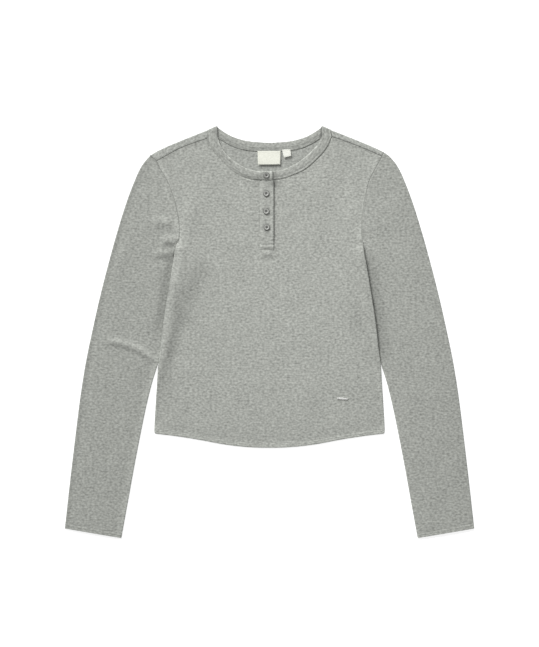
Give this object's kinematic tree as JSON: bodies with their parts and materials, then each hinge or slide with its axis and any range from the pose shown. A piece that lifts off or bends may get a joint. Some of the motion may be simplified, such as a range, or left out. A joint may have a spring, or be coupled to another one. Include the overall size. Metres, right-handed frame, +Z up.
{
  "type": "henley shirt",
  "caption": "Long-sleeved cropped henley shirt in heather-grey knit, laid flat, with a buttoned front placket, folded neckband, curved hem and bare neck labels",
  "frame": {"origin": "on the surface the shirt lies on, below the middle of the whole outline's bounding box", "axes": "+Z up, away from the surface, out of the shirt's front; +Y towards the neck; +X to the right of someone looking down on the front with the neck away from them, so towards the wearer's left sleeve"},
  "size_m": [0.688, 0.6921, 0.009],
  "materials": {
    "front": "matte heather-grey rib knit",
    "back": "matte heather-grey rib knit, wrong side up at the neck",
    "sleeve_left": "matte heather-grey rib knit",
    "sleeve_right": "matte heather-grey rib knit",
    "neckband": "matte heather-grey knit, folded double",
    "placket_upper": "matte heather-grey knit, doubled strip",
    "placket_under": "matte heather-grey knit strip",
    "button_1": "dull grey shirt button",
    "button_2": "dull grey shirt button",
    "button_3": "dull grey shirt button",
    "button_4": "dull grey shirt button",
    "neck_label": "smooth woven cream label, bare",
    "size_tag": "smooth woven white tag, bare",
    "hem_plate": "bright metal, bare"
  },
  "bodies": {
    "root": {"front": "front", "back": "back", "sleeve_left": "sleeve_left", "sleeve_right": "sleeve_right", "neckband": "neckband", "placket_upper": "placket_upper", "placket_under": "placket_under", "button_1": "button_1", "button_2": "button_2", "button_3": "button_3", "button_4": "button_4", "neck_label": "neck_label", "size_tag": "size_tag", "hem_plate": "hem_plate"}
  },
  "joints": []
}
